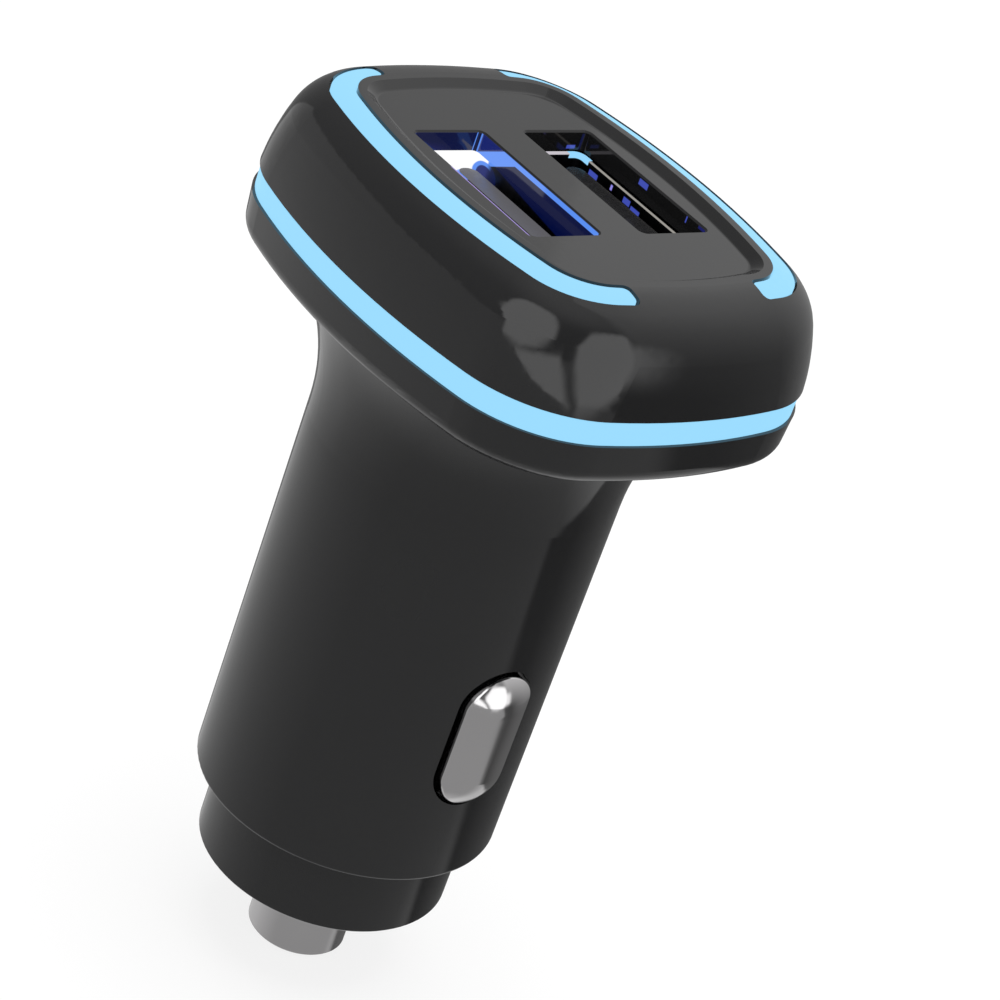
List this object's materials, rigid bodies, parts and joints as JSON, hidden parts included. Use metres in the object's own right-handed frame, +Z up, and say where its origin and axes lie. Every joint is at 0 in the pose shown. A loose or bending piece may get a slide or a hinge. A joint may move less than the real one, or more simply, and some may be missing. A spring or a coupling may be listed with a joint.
{
  "type": "vehicle socket charger",
  "caption": "Plug-in vehicle charger with a rounded head, glowing band and strips, rectangular sockets, a plain barrel, sprung side contacts and a sprung centre pin.",
  "frame": {"origin": "on the plug's axis at the barrel's lower rim, which is the upper end of the nose's wall", "axes": "+Z up the plug's axis towards the head, X across the sockets' narrow sides, Y along the sockets' long sides and through the side contacts"},
  "size_m": [0.0282, 0.035, 0.0588],
  "materials": {
    "black_gloss": "smooth gloss black",
    "black_satin": "satin black",
    "light_guide": "lit pale blue",
    "pin_metal": "turned nickel plate",
    "contact_metal": "bright nickel plate",
    "spring_steel": "drawn wire and strip",
    "brass_seat": "stamped",
    "frame_plastic": "moulded",
    "board_green": "masked laminate",
    "can_metal": "drawn can",
    "ferrite": "sintered",
    "copper_wire": "wound enamel wire",
    "chip_black": "moulded",
    "fuse_body": "coated",
    "lamp_white": "clear dome",
    "shell_metal": "stamped sheet",
    "tongue_lit": "moulded, lit from below",
    "tongue_black": "moulded",
    "terminal_gold": "plated"
  },
  "bodies": {
    "charger_body": {"top_cover": "black_gloss", "light_band": "light_guide", "light_strip_left": "light_guide", "light_strip_right": "light_guide", "barrel_housing": "black_gloss", "nose_cap": "black_satin", "pin_spring": "spring_steel", "spring_seat": "brass_seat", "contact_leaf_front": "spring_steel", "contact_leaf_rear": "spring_steel", "inner_frame": "frame_plastic", "main_board": "board_green", "port_board": "board_green", "input_capacitor": "can_metal", "output_capacitor": "can_metal", "inductor_core": "ferrite", "inductor_winding": "copper_wire", "controller_chip": "chip_black", "rectifier": "chip_black", "fuse": "fuse_body", "lamp_front": "lamp_white", "lamp_rear": "lamp_white", "usb_shell_left": "shell_metal", "usb_shell_right": "shell_metal", "usb_tongue_left": "tongue_lit", "usb_tongue_right": "tongue_black", "usb_terminal_left_1": "terminal_gold", "usb_terminal_left_2": "terminal_gold", "usb_terminal_left_3": "terminal_gold", "usb_terminal_left_4": "terminal_gold", "usb_terminal_right_1": "terminal_gold", "usb_terminal_right_2": "terminal_gold", "usb_terminal_right_3": "terminal_gold", "usb_terminal_right_4": "terminal_gold"},
    "pin": {"centre_pin": "pin_metal"},
    "front_contact": {"side_contact_front": "contact_metal"},
    "rear_contact": {"side_contact_rear": "contact_metal"}
  },
  "joints": [
    {"name": "pin_press", "type": "slide", "parent": "charger_body", "child": "pin", "axis": [0, 0, 1], "range_m": [0, 0.003], "stiffness_N_per_m": 800, "springref_m": -0.002, "deforming": ["pin_spring"]},
    {"name": "front_contact_press", "type": "slide", "parent": "charger_body", "child": "front_contact", "axis": [0, 1, 0], "range_m": [0, 0.0011], "stiffness_N_per_m": 1500, "springref_m": -0.001, "deforming": ["contact_leaf_front"]},
    {"name": "rear_contact_press", "type": "slide", "parent": "charger_body", "child": "rear_contact", "axis": [0, -1, 0], "range_m": [0, 0.0011], "stiffness_N_per_m": 1500, "springref_m": -0.001, "deforming": ["contact_leaf_rear"]}
  ]
}
